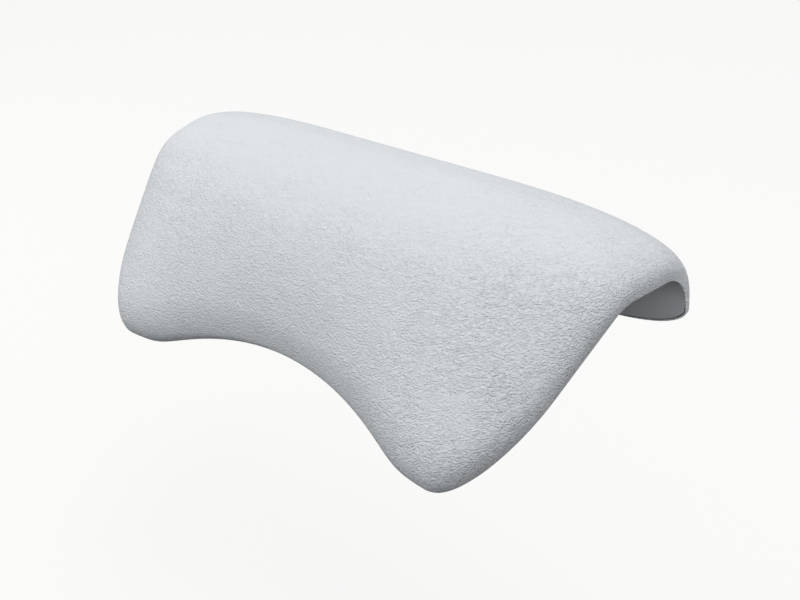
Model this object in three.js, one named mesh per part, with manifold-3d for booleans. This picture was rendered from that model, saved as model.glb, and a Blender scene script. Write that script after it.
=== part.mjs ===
// Bath pillow. A saddle of foam hooks over the rim of a bath: a flat seat lies on the rim, a padded wall
// slopes down in front for the head, a short lip hangs behind the rim, and suction cups under the wall hold
// on to the bath.
// Millimetres, +Z up. The origin is the middle of the seat, +X runs along the rim and -Y faces the bather.
import * as THREE from 'three';
import { mergeVertices } from 'three/addons/utils/BufferGeometryUtils.js';
import Module from 'manifold-3d';

const wasm = await Module();
wasm.setup();

// Underside profile: a flat seat, then on each side a fillet and a straight run
const SEAT_WIDTH = 24;
const WALL_FILLET = 20;
const WALL_ANGLE = 45; // degrees that the front wall falls from level
const LIP_FILLET = 18;
const LIP_ANGLE = 90; // degrees that the rear lip falls from level

// Outline of the pillow, measured along its underside from the middle of the seat
const HALF_WIDTH = 165;
const SIDE_LEAN = 13; // degrees that each side draws in towards the lobes
const WALL_REACH = 136.5;
const LIP_REACH = 61.5;
const SCOOP_DEPTH = 28.4;
const SCOOP_HALF_WIDTH = 110.5;
const SCOOP_EASE = 8; // rounding where the scoop runs out into the lobes
const LOBE_CORNER_WIDTH = 30;
const LOBE_CORNER_LENGTH = 65;
const LIP_CORNER_WIDTH = 56;
const LIP_CORNER_LENGTH = 18;

// Padding: thickness of the whole pillow, and how far in from each edge it reaches that thickness
const RIDGE_THICKNESS = 25;
const RIDGE_HALF_DEPTH = 20; // behind the middle of the seat the ridge keeps its thickness this far
const RIDGE_CROWN = 4.7; // how much the ridge swells over the middle of the seat
const RIDGE_CROWN_HALF_DEPTH = 27;
const BELLY_RISE = 5; // how much thicker the front wall is just below the ridge
const BELLY_START = 8; // in front of the middle of the seat, where the rise begins
const BELLY_END = 43; // and where it is complete
const LOBE_THICKNESS = 20.5;
const NECK_HOLLOW = 17; // how much thinner the wall is at the middle of the scoop
const NECK_HALF_WIDTH = 144;
const LIP_THICKNESS = 16.5;
const END_ROLL = 110;
const LOBE_ROLL = 58;
const WALL_ROLL = 28;
const NECK_ROLL = 16; // the same at the middle of the scoop
const LIP_ROLL = 26;
const ROLL_EXPONENT = 2.5; // superellipse of the rolled edges

// Layers: grained cover, foam, smooth liner
const COVER_WALL = 2;
const LINER_WALL = 1.5;
const FIT_GAP = 0.3;
const FOAM_LAND = 0.9; // upright edge of the foam above the liner
const LIP_SPLIT = 0.3; // gap between headrest and lip, at the rear edge of the seat

// Bent spring strips in the foam, which keep the hook closed
const SPRING_WIDTH = 25;
const SPRING_THICKNESS = 1;
const SPRING_HEIGHT = 8; // above the underside
const SPRING_INSET = 65; // from the end of the ridge to the middle of the strip
const SPRING_WALL_RUN = 30; // past the front fillet
const SPRING_LIP_SETBACK = 16; // short of the lip's edge

// Sockets in the front wall
const SOCKET_RADIUS = 11;
const SOCKET_WALL = 2;
const FLANGE_RADIUS = 17;
const FLANGE_THICKNESS = 1.6;
const LINER_HOLE_RADIUS = 9;
const MOUTH_LENGTH = 4.5;
const UPPER_CUP_SETBACK = 20; // below the front fillet
const UPPER_CUP_INSET = 95; // from the side of the pillow
const LOWER_CUP_SETBACK = 41.5; // above the tip of the lobe
const LOWER_CUP_INSET = 35;

// Suction cups: mushroom head, neck, hub and bell
const HEAD_RADIUS = 6.5;
const HEAD_TIP_RADIUS = 4;
const HEAD_LENGTH = 3.5;
const NECK_RADIUS = 4;
const NECK_GAP = 0.3;
const PRESS_TRAVEL = 3; // how far a cup gives when it is pressed on
const PRESS_CLEARANCE = 0.6;
const HUB_RADIUS = 7;
const HUB_LENGTH = 3;
const CUP_RADIUS = 20;
const BELL_HEIGHT = 7;
const BELL_WALL = 1.4;
const SEAL_WIDTH = 1.5; // flat ring that seals on the bath

// Steps of the faceted surfaces
const COLUMNS = 22;
const SEAT_ROWS = 4;
const FILLET_ROWS = 3;
const WALL_ROWS = 8;
const LIP_ROWS = 11;
const EDGE_BIAS = 0.85; // share of sine spacing, which crowds the steps at the edges
const SPRING_ROWS = 20;
const ROUND_STEPS = 20;
const CURVE_STEPS = 5;

const EDGE_HEIGHT = LINER_WALL + FIT_GAP + FOAM_LAND + FIT_GAP;
const SEAT_EDGE = SEAT_WIDTH / 2;
const TAPER = Math.tan(THREE.MathUtils.degToRad(SIDE_LEAN));
const WALL_TURN = THREE.MathUtils.degToRad(WALL_ANGLE);
const LIP_TURN = THREE.MathUtils.degToRad(LIP_ANGLE);
const WALL_START = SEAT_EDGE + WALL_FILLET * WALL_TURN;
const UP = new THREE.Vector3(0, 1, 0);

const steps = (count) => Array.from({ length: count + 1 }, (_, i) => i / count);
const ease = (x) => (1 - EDGE_BIAS) * x + EDGE_BIAS * Math.sin((x * Math.PI) / 2);

// Point and outward normal of the underside at arc length v from the middle of the seat, positive to the front
function underside(v) {
  const front = v >= 0;
  const radius = front ? WALL_FILLET : LIP_FILLET;
  const turn = front ? WALL_TURN : LIP_TURN;
  const side = front ? -1 : 1;
  const run = Math.max(Math.abs(v) - SEAT_EDGE, 0);
  const angle = Math.min(run / radius, turn);
  const straight = run - radius * angle;
  const reach = Math.min(Math.abs(v), SEAT_EDGE) + radius * Math.sin(angle) + straight * Math.cos(angle);
  const drop = radius * (1 - Math.cos(angle)) + straight * Math.sin(angle);
  return {
    point: new THREE.Vector3(0, side * reach, -drop),
    normal: new THREE.Vector3(0, side * Math.sin(angle), Math.cos(angle)),
  };
}

// Point at height h over the underside, x along the rim
function pointOver(x, v, h) {
  const { point, normal } = underside(v);
  return point.addScaledVector(normal, h).setX(x);
}

// Elliptical corner: how far it cuts back an edge at u, on an outline of the given half width
function cornerCut(u, halfWidth, width, length) {
  const share = THREE.MathUtils.clamp((Math.abs(u) - halfWidth + width) / width, 0, 1);
  return length * (1 - Math.sqrt(1 - share * share));
}

// 1 in the middle, easing to 0 at the given distance to either side
function hump(distance, halfWidth) {
  return 0.5 * (1 + Math.cos(Math.PI * Math.min(Math.abs(distance) / halfWidth, 1)));
}

// A parabola that eases off into the lobes to either side
function scoopCut(u) {
  const bow = SCOOP_DEPTH * (1 - (u / SCOOP_HALF_WIDTH) ** 2);
  return 0.5 * (bow + Math.hypot(bow, SCOOP_EASE));
}

// Front and rear edges of an outline that lies inset from the pillow's own
function frontEdge(u, inset) {
  const corner = cornerCut(u, HALF_WIDTH - inset, LOBE_CORNER_WIDTH, LOBE_CORNER_LENGTH);
  return WALL_REACH - inset - scoopCut(u) - corner;
}

function rearEdge(u, inset) {
  return inset - LIP_REACH + cornerCut(u, HALF_WIDTH - inset, LIP_CORNER_WIDTH, LIP_CORNER_LENGTH);
}

function atNeck(u) {
  return hump(u, NECK_HALF_WIDTH);
}

// Thickness of the pillow before its edges roll off
function thickness(u, v) {
  const past = Math.max(v - BELLY_END, 0);
  const wall = past / (WALL_REACH - BELLY_END);
  const neck = past / (WALL_REACH - SCOOP_DEPTH - BELLY_END);
  const lip = Math.max((-v - RIDGE_HALF_DEPTH) / (LIP_REACH - RIDGE_HALF_DEPTH), 0);
  return RIDGE_THICKNESS + RIDGE_CROWN * hump(v, RIDGE_CROWN_HALF_DEPTH)
    + BELLY_RISE * THREE.MathUtils.smoothstep(v, BELLY_START, BELLY_END)
    - (RIDGE_THICKNESS + BELLY_RISE - LOBE_THICKNESS) * wall ** 2
    - NECK_HOLLOW * atNeck(u) * neck ** 2
    - (RIDGE_THICKNESS - LIP_THICKNESS) * lip ** 2;
}

function roll(distance, length) {
  const left = 1 - THREE.MathUtils.clamp(distance / length, 0, 1);
  return (1 - left ** ROLL_EXPONENT) ** (1 / ROLL_EXPONENT);
}

// Height of the crowned surface that lies inset under the pillow's skin, with an upright edge
function crown(u, v, inset, edge) {
  const sideRoll = END_ROLL - (END_ROLL - LOBE_ROLL) * Math.max(v / WALL_REACH, 0) ** 2;
  const share = roll(HALF_WIDTH - inset - Math.abs(u), sideRoll)
    * roll(frontEdge(u, inset) - v, WALL_ROLL + (NECK_ROLL - WALL_ROLL) * atNeck(u))
    * roll(v - rearEdge(u, inset), LIP_ROLL);
  return edge + (thickness(u, v) - inset - edge) * share;
}

// Rows of the headrest and of the lip, from the split at the rear edge of the seat out to the free edge
const SPLIT_ROW = LIP_SPLIT / 2 - SEAT_EDGE;
const headrest = {
  edge: frontEdge,
  rows: [
    ...steps(SEAT_ROWS).slice(0, -1).map((x) => () => SPLIT_ROW + x * (SEAT_EDGE - SPLIT_ROW)),
    ...steps(FILLET_ROWS).map((x) => () => SEAT_EDGE + x * (WALL_START - SEAT_EDGE)),
    ...steps(WALL_ROWS).slice(1).map((x) => (edge) => WALL_START + ease(x) * (edge - WALL_START)),
  ],
};
const LIP_START = -SEAT_EDGE - LIP_SPLIT / 2;
const lip = {
  edge: rearEdge,
  rows: steps(LIP_ROWS).map((x) => (edge) => LIP_START + ease(x) * (edge - LIP_START)),
};
const COLUMN_PLACES = steps(COLUMNS).map((x) => Math.sign(x - 0.5) * ease(Math.abs(2 * x - 1)));

// Grid of points over one half of the pillow, at a height that depends on the place
function layer(half, inset, heightAt) {
  return half.rows.map((row) => COLUMN_PLACES.map((place) => {
    const u = place * (HALF_WIDTH - inset);
    const v = row(half.edge(u, inset));
    return pointOver(u * (1 - (TAPER * v) / HALF_WIDTH), v, heightAt(u, v));
  }));
}

// The same grid, with its sides and its free edge carried down to the underside
function layerWithSkirt(half, inset, heightAt) {
  const foot = layer(half, inset, () => 0);
  const top = layer(half, inset, heightAt);
  const rows = top.map((row, i) => [foot[i].at(0), ...row, foot[i].at(-1)]);
  const last = foot.at(-1);
  return [...rows, [last.at(0), ...last, last.at(-1)]];
}

// Indexed geometry of one closed body with its faces outwards: shared points merged, empty triangles dropped
function closedBody(source) {
  const bare = new THREE.BufferGeometry();
  bare.setAttribute('position', source.getAttribute('position'));
  bare.setIndex(source.getIndex());
  const merged = mergeVertices(bare, 1e-4);
  const index = Array.from(merged.getIndex().array);
  const position = merged.getAttribute('position');
  const corner = (i) => new THREE.Vector3().fromBufferAttribute(position, index[i]);
  const kept = [];
  let volume = 0;
  for (let i = 0; i < index.length; i += 3) {
    const [a, b, c] = index.slice(i, i + 3);
    if (a !== b && b !== c && c !== a) kept.push([a, b, c]);
    volume += corner(i).dot(corner(i + 1).cross(corner(i + 2)));
  }
  const outwards = volume > 0 ? kept : kept.map(([a, b, c]) => [a, c, b]);
  merged.setIndex(outwards.flat());
  return merged;
}

// Closed body between two grids of the same rows and columns
function bodyBetween(upper, lower) {
  const rows = upper.length;
  const columns = upper[0].length;
  const at = (grid, r, c) => (grid * rows + r) * columns + c;
  const faces = [];
  const quad = (a, b, c, d) => faces.push(a, b, c, a, c, d);
  for (let r = 0; r < rows - 1; r += 1) {
    for (let c = 0; c < columns - 1; c += 1) {
      quad(at(0, r, c), at(0, r, c + 1), at(0, r + 1, c + 1), at(0, r + 1, c));
      quad(at(1, r, c), at(1, r + 1, c), at(1, r + 1, c + 1), at(1, r, c + 1));
    }
  }
  for (let c = 0; c < columns - 1; c += 1) {
    quad(at(0, 0, c), at(1, 0, c), at(1, 0, c + 1), at(0, 0, c + 1));
    quad(at(0, rows - 1, c), at(0, rows - 1, c + 1), at(1, rows - 1, c + 1), at(1, rows - 1, c));
  }
  for (let r = 0; r < rows - 1; r += 1) {
    quad(at(0, r, 0), at(0, r + 1, 0), at(1, r + 1, 0), at(1, r, 0));
    quad(at(0, r, columns - 1), at(1, r, columns - 1), at(1, r + 1, columns - 1), at(0, r + 1, columns - 1));
  }
  const geometry = new THREE.BufferGeometry().setFromPoints([...upper.flat(), ...lower.flat()]);
  geometry.setIndex(faces);
  return closedBody(geometry);
}

// Turned body: the profile runs from axis to axis, as pairs of radius and height
function turnedBody(profile) {
  const points = profile.map(([radius, height]) => new THREE.Vector2(radius, height));
  return closedBody(new THREE.LatheGeometry(points, ROUND_STEPS));
}

function toSolid(geometry) {
  return new wasm.Manifold(new wasm.Mesh({
    numProp: 3,
    vertProperties: new Float32Array(geometry.getAttribute('position').array),
    triVerts: new Uint32Array(geometry.getIndex().array),
  }));
}

function cut(geometry, tools) {
  const solid = tools.reduce((left, tool) => left.subtract(toSolid(tool)), toSolid(geometry));
  const mesh = solid.getMesh();
  const result = new THREE.BufferGeometry();
  result.setAttribute('position', new THREE.BufferAttribute(mesh.vertProperties, 3));
  result.setIndex(new THREE.BufferAttribute(mesh.triVerts, 1));
  return result;
}

// Cover: from the skin down to a cavity one wall inside it, open at the underside
function coverBody(half) {
  const outer = layerWithSkirt(half, 0, (u, v) => crown(u, v, 0, EDGE_HEIGHT));
  const cavity = layerWithSkirt(half, COVER_WALL, (u, v) => crown(u, v, COVER_WALL, EDGE_HEIGHT));
  return bodyBetween(outer, cavity);
}

const FILL_INSET = COVER_WALL + FIT_GAP;
const FOAM_BASE = LINER_WALL + FIT_GAP;

function foamBody(half) {
  const top = layer(half, FILL_INSET, (u, v) => crown(u, v, FILL_INSET, FOAM_BASE + FOAM_LAND));
  return bodyBetween(top, layer(half, FILL_INSET, () => FOAM_BASE));
}

function linerBody(half) {
  return bodyBetween(layer(half, FILL_INSET, () => LINER_WALL), layer(half, FILL_INSET, () => 0));
}

// Spring strip at x, grown on all sides by the margin when it cuts its own pocket
function springBody(x, margin) {
  const front = WALL_START + SPRING_WALL_RUN + margin;
  const rear = SPRING_LIP_SETBACK - LIP_REACH - margin;
  const side = SPRING_WIDTH / 2 + margin;
  const strip = (h) => steps(SPRING_ROWS).map((t) => [-side, side].map(
    (offset) => pointOver(x + offset, front + t * (rear - front), h),
  ));
  return bodyBetween(strip(SPRING_HEIGHT + SPRING_THICKNESS + margin), strip(SPRING_HEIGHT - margin));
}

const SHOULDER = MOUTH_LENGTH;
const HEAD_BASE = SHOULDER + FIT_GAP;
const HEAD_TOP = HEAD_BASE + HEAD_LENGTH;
const CAVITY_TOP = HEAD_TOP + PRESS_TRAVEL + PRESS_CLEARANCE;
const SOCKET_TOP = CAVITY_TOP + SOCKET_WALL;
const FLANGE_TOP = FOAM_BASE + FLANGE_THICKNESS;

// Socket: a collar flush in the liner, a flange behind the liner, and a pot for the head of the cup
function socketBody() {
  const cavity = SOCKET_RADIUS - SOCKET_WALL;
  const bore = NECK_RADIUS + NECK_GAP;
  const collar = LINER_HOLE_RADIUS - FIT_GAP;
  return turnedBody([
    [0, CAVITY_TOP], [cavity, CAVITY_TOP], [cavity, SHOULDER], [bore, SHOULDER], [bore, 0], [collar, 0],
    [collar, FOAM_BASE], [FLANGE_RADIUS, FOAM_BASE], [FLANGE_RADIUS, FLANGE_TOP], [SOCKET_RADIUS, FLANGE_TOP],
    [SOCKET_RADIUS, SOCKET_TOP], [0, SOCKET_TOP],
  ]);
}

// Pocket in the foam for a socket, open towards the liner
function socketPocket() {
  const flange = FLANGE_RADIUS + FIT_GAP;
  const pot = SOCKET_RADIUS + FIT_GAP;
  return turnedBody([
    [0, 0], [flange, 0], [flange, FLANGE_TOP + FIT_GAP], [pot, FLANGE_TOP + FIT_GAP],
    [pot, SOCKET_TOP + FIT_GAP],
    [0, SOCKET_TOP + FIT_GAP],
  ]);
}

function linerHole() {
  return turnedBody([[0, -LINER_WALL], [LINER_HOLE_RADIUS, -LINER_WALL], [LINER_HOLE_RADIUS, 2 * LINER_WALL],
    [0, 2 * LINER_WALL]]);
}

// Points of a curve between two ends that leaves each of them towards the corner, ends left out
function curvePoints(start, corner, end) {
  const places = [start, corner, end].map(([r, h]) => new THREE.Vector2(r, h));
  const curve = new THREE.QuadraticBezierCurve(...places);
  return curve.getPoints(CURVE_STEPS).slice(1, -1).map((p) => [p.x, p.y]);
}

function cupBody() {
  const hubTop = -PRESS_TRAVEL - PRESS_CLEARANCE;
  const hubBase = hubTop - HUB_LENGTH;
  const seal = hubBase - BELL_HEIGHT;
  const shoulder = [HUB_RADIUS, hubBase];
  const brim = [CUP_RADIUS, seal + BELL_WALL / 2];
  const lipInside = [CUP_RADIUS - SEAL_WIDTH, seal];
  const roof = [0, hubBase - BELL_WALL / 2];
  return turnedBody([
    [0, HEAD_TOP], [HEAD_TIP_RADIUS, HEAD_TOP], [HEAD_RADIUS, HEAD_BASE + HEAD_LENGTH / 3],
    [HEAD_RADIUS, HEAD_BASE],
    [NECK_RADIUS, HEAD_BASE], [NECK_RADIUS, hubTop], [HUB_RADIUS, hubTop], shoulder,
    ...curvePoints(shoulder, [CUP_RADIUS - BELL_HEIGHT / 2, hubBase - BELL_WALL / 2], brim), brim,
    [CUP_RADIUS, seal], lipInside,
    ...curvePoints(lipInside, [CUP_RADIUS - BELL_HEIGHT / 2 - SEAL_WIDTH, roof[1] - BELL_WALL], roof), roof,
  ]);
}

// The four places of sockets and cups, on the flat front wall
const CUP_PLACES = [['upper', WALL_START + UPPER_CUP_SETBACK, UPPER_CUP_INSET],
  ['lower', WALL_REACH - LOWER_CUP_SETBACK, LOWER_CUP_INSET]].flatMap(([row, v, inset]) => {
  const x = HALF_WIDTH - TAPER * v - inset;
  return [[`${row}_left`, -x, v], [`${row}_right`, x, v]];
}).map(([name, x, v]) => {
  const { normal } = underside(v);
  const turn = new THREE.Quaternion().setFromUnitVectors(UP, normal);
  return { name, matrix: new THREE.Matrix4().compose(pointOver(x, v, 0), turn, new THREE.Vector3(1, 1, 1)) };
});
const SPRING_PLACES = [['left', SPRING_INSET - HALF_WIDTH], ['right', HALF_WIDTH - SPRING_INSET]];

function finish(color, roughness, metalness = 0) {
  return new THREE.MeshStandardMaterial({ color, roughness, metalness });
}
const grainedSkin = finish(0xccd1d5, 0.55);
const smoothSkin = finish(0xbec3c7, 0.5);
const foam = finish(0xe6e3d8, 0.95);
const springSteel = finish(0xb4b8bc, 0.35, 1);
const socketPlastic = finish(0xe4e7e8, 0.45);
const clearRubber = finish(0xd3dadd, 0.25);

const pillow = new THREE.Group();

function place(name, geometry, material, matrix = new THREE.Matrix4()) {
  const mesh = new THREE.Mesh(geometry, material);
  mesh.name = name;
  mesh.applyMatrix4(matrix);
  pillow.add(mesh);
}

const atCups = (tool) => CUP_PLACES.map(({ matrix }) => tool.clone().applyMatrix4(matrix));
const springPockets = SPRING_PLACES.map(([, x]) => springBody(x, FIT_GAP));

place('headrest_cover', coverBody(headrest), grainedSkin);
place('lip_cover', coverBody(lip), grainedSkin);
place('headrest_foam', cut(foamBody(headrest), [...springPockets, ...atCups(socketPocket())]), foam);
place('lip_foam', cut(foamBody(lip), springPockets), foam);
place('headrest_liner', cut(linerBody(headrest), atCups(linerHole())), smoothSkin);
place('lip_liner', linerBody(lip), smoothSkin);
SPRING_PLACES.forEach(([side, x]) => place(`hook_spring_${side}`, springBody(x, 0), springSteel));
CUP_PLACES.forEach(({ name, matrix }) => {
  place(`socket_${name}`, socketBody(), socketPlastic, matrix);
  place(`suction_cup_${name}`, cupBody(), clearRubber, matrix);
});

export default pillow;
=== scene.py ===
# Bath pillow: a saddle of moulded foam in a grained skin, smooth underneath, with suction cups under its
# front wall.
# Metres, +Z up. The origin is the middle of the seat, +X runs along the rim and -Y faces the bather.
import math

import bpy
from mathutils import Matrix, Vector


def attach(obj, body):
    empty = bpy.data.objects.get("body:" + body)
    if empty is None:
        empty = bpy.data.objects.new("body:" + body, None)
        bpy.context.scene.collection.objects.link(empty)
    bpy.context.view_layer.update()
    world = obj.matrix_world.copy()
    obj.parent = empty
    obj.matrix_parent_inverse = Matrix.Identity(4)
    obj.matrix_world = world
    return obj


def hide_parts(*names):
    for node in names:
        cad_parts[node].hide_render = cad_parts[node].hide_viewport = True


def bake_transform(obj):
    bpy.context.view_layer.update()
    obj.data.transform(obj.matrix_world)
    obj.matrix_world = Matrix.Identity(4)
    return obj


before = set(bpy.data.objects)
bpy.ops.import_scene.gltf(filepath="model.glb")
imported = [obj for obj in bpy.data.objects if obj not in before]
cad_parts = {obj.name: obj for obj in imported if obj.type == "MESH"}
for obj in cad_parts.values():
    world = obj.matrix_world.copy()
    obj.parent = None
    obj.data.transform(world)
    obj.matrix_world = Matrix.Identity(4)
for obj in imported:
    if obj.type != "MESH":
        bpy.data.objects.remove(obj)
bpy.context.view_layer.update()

MM = 0.001

# Saddle: lengths along the underside from the middle of the seat, thickness of the padding, rolled edges
SADDLE = {
    "Seat half depth": 12 * MM,
    "Wall fillet": 20 * MM,
    "Wall turn": math.radians(45),
    "Lip fillet": 18 * MM,
    "Lip turn": math.radians(90),
    "Half width": 165 * MM,
    "Side taper": math.tan(math.radians(13)),
    "Wall reach": 136.5 * MM,
    "Lip reach": 61.5 * MM,
    "Scoop depth": 28.4 * MM,
    "Scoop half width": 110.5 * MM,
    "Scoop ease": 8 * MM,
    "Lobe corner width": 30 * MM,
    "Lobe corner length": 65 * MM,
    "Lip corner width": 56 * MM,
    "Lip corner length": 18 * MM,
    "Ridge thickness": 25 * MM,
    "Ridge half depth": 20 * MM,
    "Ridge crown": 4.7 * MM,
    "Ridge crown half depth": 27 * MM,
    "Belly rise": 5 * MM,
    "Belly start": 8 * MM,
    "Belly end": 43 * MM,
    "Lobe thickness": 20.5 * MM,
    "Neck hollow": 17 * MM,
    "Neck half width": 144 * MM,
    "Lip thickness": 16.5 * MM,
    "End roll": 110 * MM,
    "Lobe roll": 58 * MM,
    "Wall roll": 28 * MM,
    "Neck roll": 16 * MM,
    "Lip roll": 26 * MM,
    "Roll exponent": 2.5,
}

# Layers: each has a top sheet, an edge that turns down to its foot, and an inner sheet that closes it
COVER = {
    "Inset": 0.0,
    "Edge height": 3 * MM,
    "Crown": 1.0,
    "Foot height": 0.0,
    "Foot rounding": 0.6 * MM,
    "Inner inset": 0.8 * MM,
    "Inner edge height": 3 * MM,
    "Inner crown": 1.0,
    "Unevenness": 0.25 * MM,
}
FOAM = {
    "Inset": 2.1 * MM,
    "Edge height": 2.7 * MM,
    "Crown": 1.0,
    "Foot height": 1.8 * MM,
    "Foot rounding": 0.2 * MM,
    "Inner inset": 2.3 * MM,
    "Inner edge height": 1.8 * MM,
    "Inner crown": 0.0,
    "Unevenness": 0.0,
}
LINER = {
    "Inset": 1.0 * MM,
    "Edge height": 1.5 * MM,
    "Crown": 0.0,
    "Foot height": 0.0,
    "Foot rounding": 0.3 * MM,
    "Inner inset": 1.3 * MM,
    "Inner edge height": 0.0,
    "Inner crown": 0.0,
    "Unevenness": 0.0,
}
FINE_STEPS = {"Columns": 241, "Rows": 161, "Rings": 8}
COARSE_STEPS = {"Columns": 121, "Rows": 81, "Rings": 5}
FIT_GAP = 0.3 * MM

# Spring strips that keep the hook closed
SPRING_MIDDLE = 100 * MM
SPRING_STRIP = {
    "Width": 25 * MM,
    "Thickness": 1 * MM,
    "Height": 8.5 * MM,
    "Front end": SADDLE["Seat half depth"] + SADDLE["Wall fillet"] * SADDLE["Wall turn"] + 30 * MM,
    "Rear end": 16 * MM - SADDLE["Lip reach"],
}

# Turned pieces, as pairs of radius and height over the underside, in millimetres
SOCKET_PROFILE = [
    (0, 13.9), (11, 13.9), (11, 3.4), (17, 3.4), (17, 1.8), (8.7, 1.8), (8.7, 0), (4.3, 0), (4.3, 4.5),
    (9, 4.5), (9, 11.9), (0, 11.9),
]
POCKET_PROFILE = [(0, 14.2), (11.3, 14.2), (11.3, 3.7), (17.3, 3.7), (17.3, 0), (0, 0)]
LINER_HOLE_PROFILE = [(0, 3), (9, 3), (9, -1.5), (0, -1.5)]
CUP_HEAD = [(0, 8.3), (4, 8.3), (6.5, 5.97), (6.5, 4.8), (4, 4.8), (4, -3.6), (7, -3.6)]
BELL_OUTSIDE = [(7, -6.6), (16.5, -7.3), (20, -12.9)]
BELL_INSIDE = [(18.5, -13.6), (15, -8.7), (0, -7.3)]
CUP_PLACES = {
    "upper_left": (-58.986 * MM, -40.284 * MM, -20 * MM),
    "upper_right": (58.986 * MM, -40.284 * MM, -20 * MM),
    "lower_left": (-108.068 * MM, -73.725 * MM, -53.441 * MM),
    "lower_right": (108.068 * MM, -73.725 * MM, -53.441 * MM),
}


# Formulas in node trees
class Value:
    """A number in a node tree. Sums on it add Math nodes, so the rule of a shape reads as a formula."""

    def __init__(self, tree, socket):
        self.tree = tree
        self.socket = socket

    def __add__(self, other):
        return reckon("ADD", self, other)

    def __radd__(self, other):
        return reckon("ADD", other, self)

    def __sub__(self, other):
        return reckon("SUBTRACT", self, other)

    def __rsub__(self, other):
        return reckon("SUBTRACT", other, self)

    def __mul__(self, other):
        return reckon("MULTIPLY", self, other)

    def __rmul__(self, other):
        return reckon("MULTIPLY", other, self)

    def __truediv__(self, other):
        return reckon("DIVIDE", self, other)

    def __rtruediv__(self, other):
        return reckon("DIVIDE", other, self)

    def __pow__(self, other):
        return reckon("POWER", self, other)

    def __neg__(self):
        return reckon("MULTIPLY", self, -1)

    def __abs__(self):
        return reckon("ABSOLUTE", self)


def feed(tree, socket, value):
    """Links a value into a socket, or sets the socket to a plain number."""
    if isinstance(value, Value):
        tree.links.new(value.socket, socket)
    else:
        socket.default_value = value


def reckon(operation, *values):
    tree = next(value.tree for value in values if isinstance(value, Value))
    node = tree.nodes.new("ShaderNodeMath")
    node.operation = operation
    for socket, value in zip(node.inputs, values):
        feed(tree, socket, value)
    return Value(tree, node.outputs[0])


def least(a, b):
    return reckon("MINIMUM", a, b)


def most(a, b):
    return reckon("MAXIMUM", a, b)


def between(value, low, high):
    return least(most(value, low), high)


def sine(angle):
    return reckon("SINE", angle)


def cosine(angle):
    return reckon("COSINE", angle)


def root(value):
    return reckon("SQRT", most(value, 0))


def sign(value):
    return reckon("SIGN", value)


def above(value, limit):
    """1 where the value is over the limit, and 0 elsewhere."""
    return reckon("GREATER_THAN", value, limit)


def mixed(low, high, share):
    return low + (high - low) * share


def add_node(tree, kind, output=0, settings=(), **inputs):
    """A node with its settings made and its inputs fed, as the value of one of its outputs."""
    node = tree.nodes.new(kind)
    for name, setting in dict(settings).items():
        setattr(node, name, setting)
    for name, value in inputs.items():
        feed(tree, node.inputs[name.replace("_", " ")], value)
    return Value(tree, node.outputs[output])


def parts_of(vector):
    node = vector.tree.nodes.new("ShaderNodeSeparateXYZ")
    vector.tree.links.new(vector.socket, node.inputs[0])
    return [Value(vector.tree, output) for output in node.outputs]


def point(x, y, z):
    tree = next(value.tree for value in (x, y, z) if isinstance(value, Value))
    return add_node(tree, "ShaderNodeCombineXYZ", X=x, Y=y, Z=z)


# Geometry trees
SOCKET_KINDS = {
    int: "NodeSocketInt",
    float: "NodeSocketFloat",
    tuple: "NodeSocketVector",
    "geometry": "NodeSocketGeometry",
    "material": "NodeSocketMaterial",
}


def new_tree(name, sizes, takes_geometry=False):
    """A geometry tree with one named input for each size, and its inputs as values by name."""
    tree = bpy.data.node_groups.new(name, "GeometryNodeTree")
    tree.interface.new_socket("Geometry", in_out="OUTPUT", socket_type=SOCKET_KINDS["geometry"])
    if takes_geometry:
        tree.interface.new_socket("Geometry", in_out="INPUT", socket_type=SOCKET_KINDS["geometry"])
    for size, value in sizes.items():
        tree.interface.new_socket(size, in_out="INPUT", socket_type=SOCKET_KINDS[type(value)])
    tree.interface.new_socket("Finish", in_out="INPUT", socket_type=SOCKET_KINDS["material"])
    entry = tree.nodes.new("NodeGroupInput")
    return tree, {socket.name: Value(tree, socket) for socket in entry.outputs if socket.name}


def end_tree(tree, geometry, finish, smooth_below):
    """Welds the sheets, shades edges flatter than the angle smooth, sets the finish and ends the tree."""
    welded = add_node(tree, "GeometryNodeMergeByDistance", Geometry=geometry, Distance=0.002 * MM)
    smooth = add_node(tree, "GeometryNodeSetShadeSmooth", Geometry=welded, Shade_Smooth=True)
    edge_angle = add_node(tree, "GeometryNodeInputMeshEdgeAngle")
    sharp = add_node(
        tree,
        "GeometryNodeSetShadeSmooth",
        settings={"domain": "EDGE"},
        Geometry=smooth,
        Selection=above(edge_angle, smooth_below),
        Shade_Smooth=False,
    )
    realized = add_node(tree, "GeometryNodeRealizeInstances", Geometry=sharp)
    painted = add_node(tree, "GeometryNodeSetMaterial", Geometry=realized, Material=finish)
    ending = tree.nodes.new("NodeGroupOutput")
    tree.links.new(painted.socket, ending.inputs[0])


def underside(size, run):
    """Place on the underside at a run from the middle of the seat, forward positive, and the way up."""
    forward = above(run, 0)
    fillet = mixed(size["Lip fillet"], size["Wall fillet"], forward)
    turn = mixed(size["Lip turn"], size["Wall turn"], forward)
    past_seat = most(abs(run) - size["Seat half depth"], 0)
    angle = least(past_seat / fillet, turn)
    straight = past_seat - fillet * angle
    on_seat = least(abs(run), size["Seat half depth"])
    reach = on_seat + fillet * sine(angle) + straight * cosine(angle)
    drop = fillet * (1 - cosine(angle)) + straight * sine(angle)
    return -sign(run) * reach, -drop, -sign(run) * sine(angle), cosine(angle)


def point_over(size, x, run, height):
    """Point at a height over the underside."""
    y, z, up_y, up_z = underside(size, run)
    return point(x, y + height * up_y, z + height * up_z)


def corner_cut(across, half_width, width, length):
    """How far an elliptical corner cuts back the edge of the outline."""
    share = between((abs(across) - half_width + width) / width, 0, 1)
    return length * (1 - root(1 - share * share))


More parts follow.
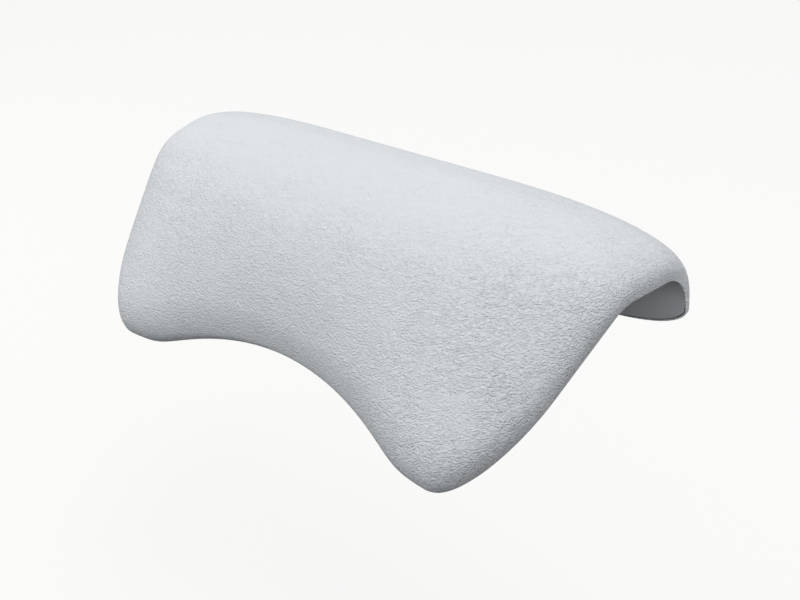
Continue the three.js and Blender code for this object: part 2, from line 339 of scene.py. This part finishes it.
def hump(distance, half_width):
    """1 in the middle, easing to 0 at the half width to either side."""
    return 0.5 * (1 + cosine(least(abs(distance) / half_width, 1) * math.pi))


def front_edge(size, across, inset):
    half_width = size["Half width"] - inset
    corner = corner_cut(across, half_width, size["Lobe corner width"], size["Lobe corner length"])
    outwards = across / size["Scoop half width"]
    bow = size["Scoop depth"] * (1 - outwards * outwards)
    scoop = 0.5 * (bow + root(bow * bow + size["Scoop ease"] * size["Scoop ease"]))
    return size["Wall reach"] - inset - scoop - corner


def rear_edge(size, across, inset):
    half_width = size["Half width"] - inset
    corner = corner_cut(across, half_width, size["Lip corner width"], size["Lip corner length"])
    return inset - size["Lip reach"] + corner


def rolled(size, distance, length):
    """Share of the full padding at a distance in from a rolled edge."""
    left = 1 - between(distance / length, 0, 1)
    return most(1 - left ** size["Roll exponent"], 0) ** (1 / size["Roll exponent"])


def crown_height(size, across, run, inset, edge):
    """Height of the crowned sheet that lies inset under the pillow's skin."""
    at_neck = hump(across, size["Neck half width"])
    rise = between((run - size["Belly start"]) / (size["Belly end"] - size["Belly start"]), 0, 1)
    below_belly = most(run - size["Belly end"], 0)
    to_lobe = below_belly / (size["Wall reach"] - size["Belly end"])
    to_scoop = below_belly / (size["Wall reach"] - size["Scoop depth"] - size["Belly end"])
    down_lip = most((-run - size["Ridge half depth"]) / (size["Lip reach"] - size["Ridge half depth"]), 0)
    thickness = (
        size["Ridge thickness"]
        + size["Ridge crown"] * hump(run, size["Ridge crown half depth"])
        + size["Belly rise"] * rise * rise * (3 - 2 * rise)
        - (size["Ridge thickness"] + size["Belly rise"] - size["Lobe thickness"]) * to_lobe * to_lobe
        - size["Neck hollow"] * at_neck * to_scoop * to_scoop
        - (size["Ridge thickness"] - size["Lip thickness"]) * down_lip * down_lip
    )
    down_wall = most(run / size["Wall reach"], 0)
    end_roll = size["End roll"] - (size["End roll"] - size["Lobe roll"]) * down_wall * down_wall
    front_roll = mixed(size["Wall roll"], size["Neck roll"], at_neck)
    share = (
        rolled(size, size["Half width"] - inset - abs(across), end_roll)
        * rolled(size, front_edge(size, across, inset) - run, front_roll)
        * rolled(size, run - rear_edge(size, across, inset), size["Lip roll"])
    )
    return (thickness - inset - edge) * share


def steps_past(step, count, rings):
    """Share of the way over a sheet, from 0 to 1, and the number of rings past its border."""
    share = between(step - rings, 0, count - 1) / (count - 1)
    past = most(most(rings - step, step - rings - count + 1), 0)
    return share, past


def pillow_sheet(tree, size, rings, inset, edge, crown):
    """One sheet of the saddle. Rings past its border turn the edge round the foot to the inner sheet."""
    columns = size["Columns"] + 2 * rings
    rows = size["Rows"] + 2 * rings
    grid = tree.nodes.new("GeometryNodeMeshGrid")
    feed(tree, grid.inputs["Vertices X"], columns)
    feed(tree, grid.inputs["Vertices Y"], rows)
    feed(tree, grid.inputs["Size X"], columns - 1)
    feed(tree, grid.inputs["Size Y"], rows - 1)
    grid_x, grid_y, _ = parts_of(add_node(tree, "GeometryNodeInputPosition"))
    share_across, past_side = steps_past(grid_x + (columns - 1) / 2, size["Columns"], rings)
    share_along, past_end = steps_past(grid_y + (rows - 1) / 2, size["Rows"], rings)
    ring = most(past_side, past_end)

    in_edge = least(ring, 1)
    last = most(ring - size["Rings"] + 1, 0)
    bend = between((ring - 1) / (size["Rings"] - 2), 0, 1) * (math.pi / 2)
    turned_in = mixed(size["Foot rounding"] * (1 - cosine(bend)), size["Inner inset"] - inset, last)
    sheet_inset = inset + in_edge * turned_in

    # Sine spacing crowds the steps at the rolled edges
    across = sine((share_across - 0.5) * math.pi) * (size["Half width"] - sheet_inset)
    front = front_edge(size, across, sheet_inset)
    rear = rear_edge(size, across, sheet_inset)
    run = mixed(front, rear, 0.5 + 0.5 * sine((share_along - 0.5) * math.pi))
    wave = add_node(
        tree,
        "ShaderNodeTexNoise",
        settings={"noise_dimensions": "2D"},
        Vector=point(across, run, 0),
        Scale=42.0,
        Detail=1.0,
        Roughness=0.4,
    )
    on_border = above(abs(share_across - 0.5), 0.4999) + above(abs(share_along - 0.5), 0.4999)
    padding = crown_height(size, across, run, inset, edge) * (1 - least(on_border, 1))
    swell = size["Unevenness"] * (wave - 0.5) * least(padding / (6 * MM), 1)
    top = edge + crown * (padding + swell)
    rounded = size["Foot height"] + size["Foot rounding"] * (1 - sine(bend))
    foot = mixed(rounded, size["Inner edge height"], last)
    height = mixed(top, foot, in_edge)
    x = across * (1 - size["Side taper"] * run / size["Half width"])
    return add_node(
        tree,
        "GeometryNodeSetPosition",
        Geometry=Value(tree, grid.outputs["Mesh"]),
        Position=point_over(size, x, run, height),
    )


def pillow_layer_tree():
    tree, size = new_tree("pillow layer", SADDLE | COVER | FINE_STEPS)
    no_rings = size["Rings"] * 0
    top = pillow_sheet(tree, size, size["Rings"], size["Inset"], size["Edge height"], size["Crown"])
    inner_edge = size["Inner edge height"]
    inner = pillow_sheet(tree, size, no_rings, size["Inner inset"], inner_edge, size["Inner crown"])
    joined = tree.nodes.new("GeometryNodeJoinGeometry")
    tree.links.new(add_node(tree, "GeometryNodeFlipFaces", Mesh=inner).socket, joined.inputs[0])
    tree.links.new(top.socket, joined.inputs[0])
    end_tree(tree, Value(tree, joined.outputs[0]), size["Finish"], math.radians(75))
    return tree


def spring_strip_tree():
    """A flat strip with rounded edges, bent along the underside."""
    tree, size = new_tree("spring strip", SADDLE | SPRING_STRIP | {"Middle": 0.0})
    bar = tree.nodes.new("GeometryNodeMeshCylinder")
    bar.inputs["Vertices"].default_value = 40
    bar.inputs["Side Segments"].default_value = 72
    bar.inputs["Radius"].default_value = 1
    bar.inputs["Depth"].default_value = 1
    bar_x, bar_y, bar_z = parts_of(add_node(tree, "GeometryNodeInputPosition"))
    side = sign(bar_x) * abs(bar_x) ** 0.25 * size["Width"] / 2
    face = sign(bar_y) * abs(bar_y) ** 0.25 * size["Thickness"] / 2
    run = mixed(size["Rear end"], size["Front end"], bar_z + 0.5)
    strip = add_node(
        tree,
        "GeometryNodeSetPosition",
        Geometry=Value(tree, bar.outputs["Mesh"]),
        Position=point_over(size, size["Middle"] + side, run, size["Height"] + face),
    )
    end_tree(tree, strip, size["Finish"], math.radians(50))
    return tree


def turned_piece_tree():
    """Turns a profile, a line of points in x and z, about its axis and sets it square on the front wall."""
    inputs = {"Steps": 64, "Centre": (0, 0, 0), "Tilt": 0.0}
    tree, size = new_tree("turned piece", inputs, takes_geometry=True)
    profile = size["Geometry"]
    count = add_node(tree, "GeometryNodeAttributeDomainSize", Geometry=profile)
    grid = tree.nodes.new("GeometryNodeMeshGrid")
    feed(tree, grid.inputs["Vertices X"], size["Steps"] + 1)
    feed(tree, grid.inputs["Vertices Y"], count)
    feed(tree, grid.inputs["Size X"], size["Steps"])
    feed(tree, grid.inputs["Size Y"], count - 1)
    grid_x, grid_y, _ = parts_of(add_node(tree, "GeometryNodeInputPosition"))
    sampled = tree.nodes.new("GeometryNodeSampleIndex")
    sampled.data_type = "FLOAT_VECTOR"
    feed(tree, sampled.inputs["Geometry"], profile)
    feed(tree, sampled.inputs["Value"], add_node(tree, "GeometryNodeInputPosition"))
    feed(tree, sampled.inputs["Index"], reckon("ROUND", grid_y + (count - 1) / 2))
    radius, _, height = parts_of(Value(tree, sampled.outputs[0]))
    angle = grid_x / size["Steps"] * (2 * math.pi)
    turned = add_node(
        tree,
        "GeometryNodeSetPosition",
        Geometry=Value(tree, grid.outputs["Mesh"]),
        Position=point(radius * cosine(angle), radius * sine(angle), height),
    )
    outwards = add_node(tree, "GeometryNodeFlipFaces", Mesh=turned)
    placed = add_node(
        tree,
        "GeometryNodeTransform",
        Geometry=outwards,
        Translation=size["Centre"],
        Rotation=point(size["Tilt"], 0, 0),
    )
    end_tree(tree, placed, size["Finish"], math.radians(35))
    return tree


# Pieces from trees
def keep_result(piece):
    """Puts what the modifiers make in place of the piece's mesh, and takes the modifiers off."""
    made = piece.evaluated_get(bpy.context.evaluated_depsgraph_get())
    mesh = bpy.data.meshes.new_from_object(made)
    before = piece.data
    piece.modifiers.clear()
    piece.data = mesh
    mesh.name = piece.name
    if mesh.materials and mesh.materials[0] is None:
        mesh.materials.pop(index=0)
    bpy.data.meshes.remove(before)
    return piece


def make_piece(name, tree, sizes, finish=None, profile=()):
    mesh = bpy.data.meshes.new(name)
    mesh.from_pydata([(radius * MM, 0, height * MM) for radius, height in profile], [], [])
    piece = bpy.data.objects.new(name, mesh)
    bpy.context.scene.collection.objects.link(piece)
    shaping = piece.modifiers.new(name, "NODES")
    shaping.node_group = tree
    for socket in tree.interface.items_tree:
        if socket.in_out == "INPUT" and socket.name in sizes:
            shaping[socket.identifier] = sizes[socket.name]
        if socket.name == "Finish":
            shaping[socket.identifier] = finish
    return keep_result(piece)


def cut_out(piece, tools):
    """Cuts the tools' shapes out of the piece and clears the tools away."""
    for tool in tools:
        cutting = piece.modifiers.new("cut", "BOOLEAN")
        cutting.operation = "DIFFERENCE"
        cutting.solver = "MANIFOLD"
        cutting.object = tool
    keep_result(piece)
    for tool in tools:
        bpy.data.objects.remove(tool)
    piece.data.set_sharp_from_angle(angle=math.radians(50))
    return piece


def curve_through(start, corner, end, steps=10):
    """Points of a curve that leaves each end towards the corner, both ends among them."""
    points = []
    for step in range(steps + 1):
        t = step / steps
        weights = ((1 - t) ** 2, 2 * t * (1 - t), t ** 2)
        points.append(tuple(sum(w * p[k] for w, p in zip(weights, (start, corner, end))) for k in (0, 1)))
    return points


def with_rounded_corners(profile, radius, steps=4):
    """The profile with each corner off the axis rounded, less where its sides are short."""
    points = [profile[0]]
    for before, corner, after in zip(profile, profile[1:], profile[2:]):
        ends = []
        for other in (before, after):
            length = math.dist(corner, other)
            share = min(radius / length, 0.4)
            ends.append(tuple(c + share * (o - c) for c, o in zip(corner, other)))
        points += curve_through(ends[0], corner, ends[1], steps)
    return [*points, profile[-1]]


# Finishes
SKIN_COLOUR = (0.612, 0.640, 0.667)
# The liner is the same pale skin as the cover; its colour is set darker, as painted shade inside the lip and
# under the pillow.
LINER_COLOUR_WITH_PAINTED_SHADE = (0.445, 0.467, 0.488)
FOAM_COLOUR = (0.79, 0.77, 0.69)
STEEL_COLOUR = (0.46, 0.48, 0.50)


def new_group(name, inputs, outputs):
    """A shader group with named inputs and outputs, and its inputs as values by name."""
    group = bpy.data.node_groups.new(name, "ShaderNodeTree")
    for label, value in inputs.items():
        group.interface.new_socket(label, in_out="INPUT", socket_type=SOCKET_KINDS[type(value)])
    for label in outputs:
        group.interface.new_socket(label, in_out="OUTPUT", socket_type=SOCKET_KINDS[float])
    entry = group.nodes.new("NodeGroupInput")
    return group, {socket.name: Value(group, socket) for socket in entry.outputs if socket.name}


def end_group(group, **outputs):
    ending = group.nodes.new("NodeGroupOutput")
    for label, value in outputs.items():
        feed(group, ending.inputs[label], value)


def use_group(tree, group, **inputs):
    """Places a group in a material, and gives its outputs by name."""
    node = tree.nodes.new("ShaderNodeGroup")
    node.node_tree = group
    for label, value in inputs.items():
        feed(tree, node.inputs[label.replace("_", " ")], value)
    return {socket.name: Value(tree, socket) for socket in node.outputs}


def noise(tree, place, scale, detail=2.0, roughness=0.5, distortion=0.0, output="Fac"):
    return add_node(
        tree,
        "ShaderNodeTexNoise",
        output,
        Vector=place,
        Scale=scale,
        Detail=detail,
        Roughness=roughness,
        Distortion=distortion,
    )


def cells(tree, place, scale, feature="F1"):
    return add_node(tree, "ShaderNodeTexVoronoi", "Distance", {"feature": feature}, Vector=place, Scale=scale)


def vector_sum(operation, a, b):
    tree = a.tree
    node = tree.nodes.new("ShaderNodeVectorMath")
    node.operation = operation
    feed(tree, node.inputs[0], a)
    feed(tree, node.inputs["Scale"] if operation == "SCALE" else node.inputs[1], b)
    return Value(tree, node.outputs[0])


def fade(value, start, end):
    """0 before start and 1 after end, eased between them."""
    return add_node(
        value.tree,
        "ShaderNodeMapRange",
        settings={"interpolation_type": "SMOOTHSTEP"},
        Value=value,
        From_Min=start,
        From_Max=end,
    )


def leather_grain_group():
    """Short wrinkles that wander, fork and run into each other, drawn out along x, over a finer pebble."""
    group, given = new_group(
        "leather grain",
        {"Place": (0, 0, 0), "Wrinkle": 0.0016, "Stretch": 1.6, "Wander": 1.0},
        ("Height", "Crease"),
    )
    per_wrinkle = 1 / given["Wrinkle"]
    swirl = noise(group, given["Place"], per_wrinkle * 0.25, 1.0, output="Color")
    drift = vector_sum("SUBTRACT", swirl, (0.5, 0.5, 0.5))
    stray = vector_sum("SCALE", drift, given["Wrinkle"] * given["Wander"] * 3)
    wandering = vector_sum("ADD", given["Place"], stray)
    x, y, z = parts_of(wandering)
    drawn_out = point(x / given["Stretch"], y, z)
    folds = noise(group, drawn_out, per_wrinkle * 0.8, 1.0, 0.5, 0.3)
    crests = 1 - least(abs(folds * 2 - 1) * 2.2, 1)
    pebbles = noise(group, drawn_out, per_wrinkle * 1.1, 0.5)
    crease = 1 - fade(crests, 0.05, 0.45)
    end_group(group, Height=crests * 0.25 + pebbles, Crease=crease)
    return group


def mottle_group():
    """Uneven patches and fine speckle of a moulded surface, both around 0."""
    group, given = new_group(
        "moulded mottle",
        {"Place": (0, 0, 0), "Patch": 0.02, "Speckle": 0.0006},
        ("Patches", "Speckles"),
    )
    patches = noise(group, given["Place"], 1 / given["Patch"], 3.0, 0.55)
    speckles = noise(group, given["Place"], 1 / given["Speckle"], 2.0, 0.6)
    end_group(group, Patches=patches - 0.5, Speckles=speckles - 0.5)
    return group


leather_grain = leather_grain_group()
moulded_mottle = mottle_group()


def new_finish(name, **settings):
    """A material with its Principled shader, whose plain settings are made, and the tree to build in."""
    finish = bpy.data.materials.new(name)
    finish.use_nodes = True
    shader = finish.node_tree.nodes["Principled BSDF"]
    for setting, value in settings.items():
        shader.inputs[setting.replace("_", " ")].default_value = value
    return finish, finish.node_tree, shader


def object_place(tree):
    return add_node(tree, "ShaderNodeTexCoord", "Object")


def shaded(tree, colour, lightness):
    """The colour, lighter or darker by a share."""
    red, green, blue = colour
    plain = add_node(tree, "ShaderNodeCombineXYZ", X=red, Y=green, Z=blue)
    return vector_sum("SCALE", plain, lightness)


def raised(tree, height, distance, below=None):
    """Normal of a surface raised by the height, over another one if it is given."""
    node = tree.nodes.new("ShaderNodeBump")
    node.inputs["Distance"].default_value = distance
    feed(tree, node.inputs["Height"], height)
    if below:
        feed(tree, node.inputs["Normal"], below)
    return Value(tree, node.outputs["Normal"])


def grained_skin_finish():
    finish, tree, shader = new_finish("pillow_grained_skin", IOR=1.47, Specular_IOR_Level=0.4)
    place = object_place(tree)
    x, y, z = parts_of(place)
    on_ridge = fade(z, 6 * MM, 22 * MM)
    right_end = fade(x, 40 * MM, 120 * MM)
    # The wrinkles fall to the right on the left side, and level out and climb past the right shoulder
    past_shoulder = x - 70 * MM
    climb = (-0.15 * x - 0.3 * root(past_shoulder * past_shoulder + (40 * MM) ** 2)) * math.sqrt(0.5)
    laid = point(x, y + climb, z + climb)
    grain = use_group(tree, leather_grain, Place=laid, Wrinkle=1.0 * MM, Stretch=1.5, Wander=1.0)
    mottle = use_group(tree, moulded_mottle, Place=place, Patch=22 * MM, Speckle=0.7 * MM)
    depth = mixed(1.0, 0.55, on_ridge) * mixed(0.9, 1.25, right_end) * (1 + mottle["Patches"] * 1.2)
    # The grain's creases are painted darker, as painted shade in the wrinkles; the patches are the skin's own
    # uneven tone.
    lightness = 1 + mottle["Patches"] * 0.04 - grain["Crease"] * depth * 0.015
    feed(tree, shader.inputs["Base Color"], shaded(tree, SKIN_COLOUR, lightness))
    feed(tree, shader.inputs["Roughness"], 0.46 + mottle["Patches"] * 0.12 + grain["Crease"] * 0.06)
    feed(tree, shader.inputs["Normal"], raised(tree, grain["Height"] * depth, 0.8 * MM))
    return finish


def smooth_skin_finish():
    finish, tree, shader = new_finish("pillow_smooth_skin", IOR=1.47, Specular_IOR_Level=0.4)
    place = object_place(tree)
    mottle = use_group(tree, moulded_mottle, Place=place, Patch=30 * MM, Speckle=0.9 * MM)
    # The liner's colour carries painted shade: it is darker than the pale skin it is made of.
    feed(tree, shader.inputs["Base Color"], shaded(tree, LINER_COLOUR_WITH_PAINTED_SHADE, 1 + mottle["Patches"] * 0.08))
    feed(tree, shader.inputs["Roughness"], 0.46 + mottle["Patches"] * 0.15 + mottle["Speckles"] * 0.08)
    feed(tree, shader.inputs["Normal"], raised(tree, mottle["Speckles"], 0.03 * MM))
    return finish


def moulded_foam_finish():
    finish, tree, shader = new_finish("pillow_foam", Specular_IOR_Level=0.2)
    place = object_place(tree)
    mottle = use_group(tree, moulded_mottle, Place=place, Patch=18 * MM, Speckle=0.8 * MM)
    # The pores are painted darker towards their middles, as painted shade in their hollows, besides their
    # bump.
    pores = fade(cells(tree, place, 900.0), 0.15, 0.55)
    lightness = 0.82 + 0.18 * pores + mottle["Patches"] * 0.1
    feed(tree, shader.inputs["Base Color"], shaded(tree, FOAM_COLOUR, lightness))
    feed(tree, shader.inputs["Roughness"], 0.92 + mottle["Speckles"] * 0.1)
    feed(tree, shader.inputs["Normal"], raised(tree, pores, 0.3 * MM))
    return finish


def spring_steel_finish():
    finish, tree, shader = new_finish("hook_spring_steel", Metallic=1.0)
    place = object_place(tree)
    x, y, z = parts_of(place)
    mottle = use_group(tree, moulded_mottle, Place=place, Patch=12 * MM, Speckle=0.5 * MM)
    rolled_lines = noise(tree, point(x * 2600, y * 40, z * 40), 1.0, 2.0)
    lightness = 0.94 + mottle["Patches"] * 0.2 + rolled_lines * 0.12
    feed(tree, shader.inputs["Base Color"], shaded(tree, STEEL_COLOUR, lightness))
    feed(tree, shader.inputs["Roughness"], 0.26 + rolled_lines * 0.2)
    feed(tree, shader.inputs["Normal"], raised(tree, rolled_lines, 0.02 * MM))
    return finish


def socket_plastic_finish():
    finish, tree, shader = new_finish("cup_socket_plastic", IOR=1.5)
    place = object_place(tree)
    mottle = use_group(tree, moulded_mottle, Place=place, Patch=8 * MM, Speckle=0.35 * MM)
    feed(tree, shader.inputs["Base Color"], shaded(tree, (0.78, 0.80, 0.81), 1 + mottle["Patches"] * 0.06))
    feed(tree, shader.inputs["Roughness"], 0.38 + mottle["Patches"] * 0.1 + mottle["Speckles"] * 0.12)
    feed(tree, shader.inputs["Normal"], raised(tree, mottle["Speckles"], 0.02 * MM))
    return finish


def clear_rubber_finish():
    finish, tree, shader = new_finish("cup_clear_rubber", IOR=1.5, Transmission_Weight=0.75)
    place = object_place(tree)
    mottle = use_group(tree, moulded_mottle, Place=place, Patch=9 * MM, Speckle=0.6 * MM)
    feed(tree, shader.inputs["Base Color"], shaded(tree, (0.78, 0.84, 0.87), 1 + mottle["Patches"] * 0.1))
    feed(tree, shader.inputs["Roughness"], 0.16 + mottle["Patches"] * 0.1 + mottle["Speckles"] * 0.04)
    feed(tree, shader.inputs["Normal"], raised(tree, mottle["Patches"], 0.05 * MM))
    return finish


grained_skin = grained_skin_finish()
smooth_skin = smooth_skin_finish()
moulded_foam = moulded_foam_finish()
spring_steel = spring_steel_finish()
socket_plastic = socket_plastic_finish()
clear_rubber = clear_rubber_finish()

# The pillow's layers, each in one length over the bend behind the seat
layer_tree = pillow_layer_tree()
spring_tree = spring_strip_tree()
turned_tree = turned_piece_tree()
WALL_TILT = SADDLE["Wall turn"]


def turned(name, profile, place, finish=None, steps=64):
    sizes = {"Steps": steps, "Centre": CUP_PLACES[place], "Tilt": WALL_TILT}
    return make_piece(name, turned_tree, sizes, finish, profile)


def spring(name, side, finish=None, margin=0.0):
    sizes = SADDLE | SPRING_STRIP | {"Middle": side * SPRING_MIDDLE}
    sizes["Width"] += 2 * margin
    sizes["Thickness"] += 2 * margin
    sizes["Front end"] += margin
    sizes["Rear end"] -= margin
    return make_piece(name, spring_tree, sizes, finish)


def bends_behind_seat(piece):
    """Bakes the piece's placing into its mesh; the layer already runs on from the headrest into the lip, bent
    between the seat and the lip.
    """
    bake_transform(piece)


cover = make_piece("cover", layer_tree, SADDLE | COVER | FINE_STEPS, grained_skin)
foam = make_piece("foam", layer_tree, SADDLE | FOAM | COARSE_STEPS, moulded_foam)
liner = make_piece("liner", layer_tree, SADDLE | LINER | FINE_STEPS, smooth_skin)
cut_out(liner, [turned(f"hole_{place}", LINER_HOLE_PROFILE, place, smooth_skin, 96) for place in CUP_PLACES])
pockets = [turned(f"pocket_{place}", POCKET_PROFILE, place, moulded_foam) for place in CUP_PLACES]
pockets += [spring(f"pocket_{side}", side, moulded_foam, FIT_GAP) for side in (-1, 1)]
cut_out(foam, pockets)

for layer, nodes, slot in (
    (cover, ("headrest_cover", "lip_cover"), "grained_skin"),
    (foam, ("headrest_foam", "lip_foam"), "foam"),
    (liner, ("headrest_liner", "lip_liner"), "smooth_skin"),
):
    bends_behind_seat(layer)
    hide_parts(*nodes)

for name, side in (("hook_spring_left", -1), ("hook_spring_right", 1)):
    strip = spring(f"{name}_strip", side, spring_steel)
    bends_behind_seat(strip)
    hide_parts(name)

CUP_PROFILE = [
    *with_rounded_corners([*CUP_HEAD, BELL_OUTSIDE[0]], 0.5),
    *curve_through(*BELL_OUTSIDE, steps=16)[1:],
    (20, -13.3),
    (19.7, -13.6),
    *curve_through(*BELL_INSIDE, steps=16),
]
for place in CUP_PLACES:
    socket = turned(f"socket_{place}_pot", with_rounded_corners(SOCKET_PROFILE, 0.35), place, socket_plastic)
    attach(socket, "headrest")
    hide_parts(f"socket_{place}")
    cup = turned(f"cup_{place}_bell", CUP_PROFILE, place, clear_rubber, 96)
    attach(cup, f"cup_{place}")
    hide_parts(f"suction_cup_{place}")


# Camera at the photograph's viewing angle
CAMERA_AZIMUTH = math.radians(37.15)
CAMERA_ELEVATION = math.radians(31.79)
CAMERA_DISTANCE = 477.5 * MM
CAMERA_TARGET = Vector((26.44, -15.31, -48.59)) * MM
backwards = Vector((
    math.sin(CAMERA_AZIMUTH) * math.cos(CAMERA_ELEVATION),
    -math.cos(CAMERA_AZIMUTH) * math.cos(CAMERA_ELEVATION),
    math.sin(CAMERA_ELEVATION),
))
camera = bpy.data.objects.new("camera", bpy.data.cameras.new("camera"))
camera.data.sensor_width = 36
camera.data.lens = 36.95
camera.location = CAMERA_TARGET + backwards * CAMERA_DISTANCE
camera.rotation_euler = (-backwards).to_track_quat("-Z", "Y").to_euler()
bpy.context.scene.collection.objects.link(camera)
bpy.context.scene.camera = camera


# Stage: pale floor well below the pillow, and soft light
def ray_share(tree, *kinds):
    """1 for rays of the given kinds, and 0 for the others."""
    paths = tree.nodes.new("ShaderNodeLightPath")
    rays = [Value(tree, paths.outputs[kind]) for kind in kinds]
    return least(sum(rays[1:], rays[0]), 1)


def floor_finish():
    """Pale to look at and in reflections, and dark to the light that it would throw back up."""
    finish, tree, shader = new_finish("floor", Roughness=0.9, Specular_IOR_Level=0.0, Emission_Strength=1.0)
    seen = ray_share(tree, "Is Camera Ray", "Is Glossy Ray", "Is Transmission Ray")
    straight = ray_share(tree, "Is Camera Ray", "Is Transmission Ray")
    feed(tree, shader.inputs["Base Color"], shaded(tree, FLOOR_COLOUR, mixed(FLOOR_BOUNCE, FLOOR_PALE, seen)))
    feed(tree, shader.inputs["Emission Color"], shaded(tree, FLOOR_COLOUR, straight * FLOOR_GLOW))
    return finish


FLOOR_COLOUR = (1.0, 1.0, 0.992)
FLOOR_BOUNCE = 0.03
FLOOR_PALE = 0.16
FLOOR_GLOW = 0.785
FLOOR_DROP = 0.30
floor_mesh = bpy.data.meshes.new("floor")
floor_corners = [(x, y, -FLOOR_DROP) for x, y in ((-6, -6), (6, -6), (6, 6), (-6, 6))]
floor_mesh.from_pydata(floor_corners, [], [(0, 1, 2, 3)])
floor = bpy.data.objects.new("floor", floor_mesh)
bpy.context.scene.collection.objects.link(floor)
floor_mesh.materials.append(floor_finish())

# Place in metres, width in metres and power in watts
LAMPS = {
    "overhead": ((0.25, 0.15, 1.6), 0.8, 6.8),
    "left_fill": ((-1.4, -0.5, 0.6), 1.2, 3.5),
}


def add_lamp(name, place, size, power):
    data = bpy.data.lights.new(name, "AREA")
    data.shape = "DISK"
    data.size = size
    data.energy = power
    lamp = bpy.data.objects.new(name, data)
    lamp.location = place
    lamp.rotation_euler = (CAMERA_TARGET - Vector(place)).to_track_quat("-Z", "Y").to_euler()
    bpy.context.scene.collection.objects.link(lamp)


for name, (place, size, power) in LAMPS.items():
    add_lamp(name, place, size, power)


def studio_dome():
    """White light from all round, brighter from the sides and in front than from behind."""
    dome = bpy.data.worlds.new("studio")
    dome.use_nodes = True
    tree = dome.node_tree
    background = tree.nodes["Background"]
    background.inputs["Color"].default_value = (1.0, 1.0, 1.0, 1)
    x, y, z = parts_of(add_node(tree, "ShaderNodeTexCoord", "Generated"))
    sides = abs(x) * DOME_SIDES + most(-y, 0) * DOME_FRONT
    light = DOME_EVEN + most(z, 0) * DOME_ABOVE + sides
    backdrop = ray_share(tree, "Is Camera Ray", "Is Glossy Ray", "Is Transmission Ray")
    feed(tree, background.inputs["Strength"], mixed(light, DOME_BACKDROP, backdrop))
    return dome


DOME_EVEN = 0.63
DOME_ABOVE = 0.05
DOME_SIDES = 0.32
DOME_FRONT = 0.46
DOME_BACKDROP = 0.94
bpy.context.scene.world = studio_dome()
bpy.context.scene.view_settings.view_transform = "Standard"
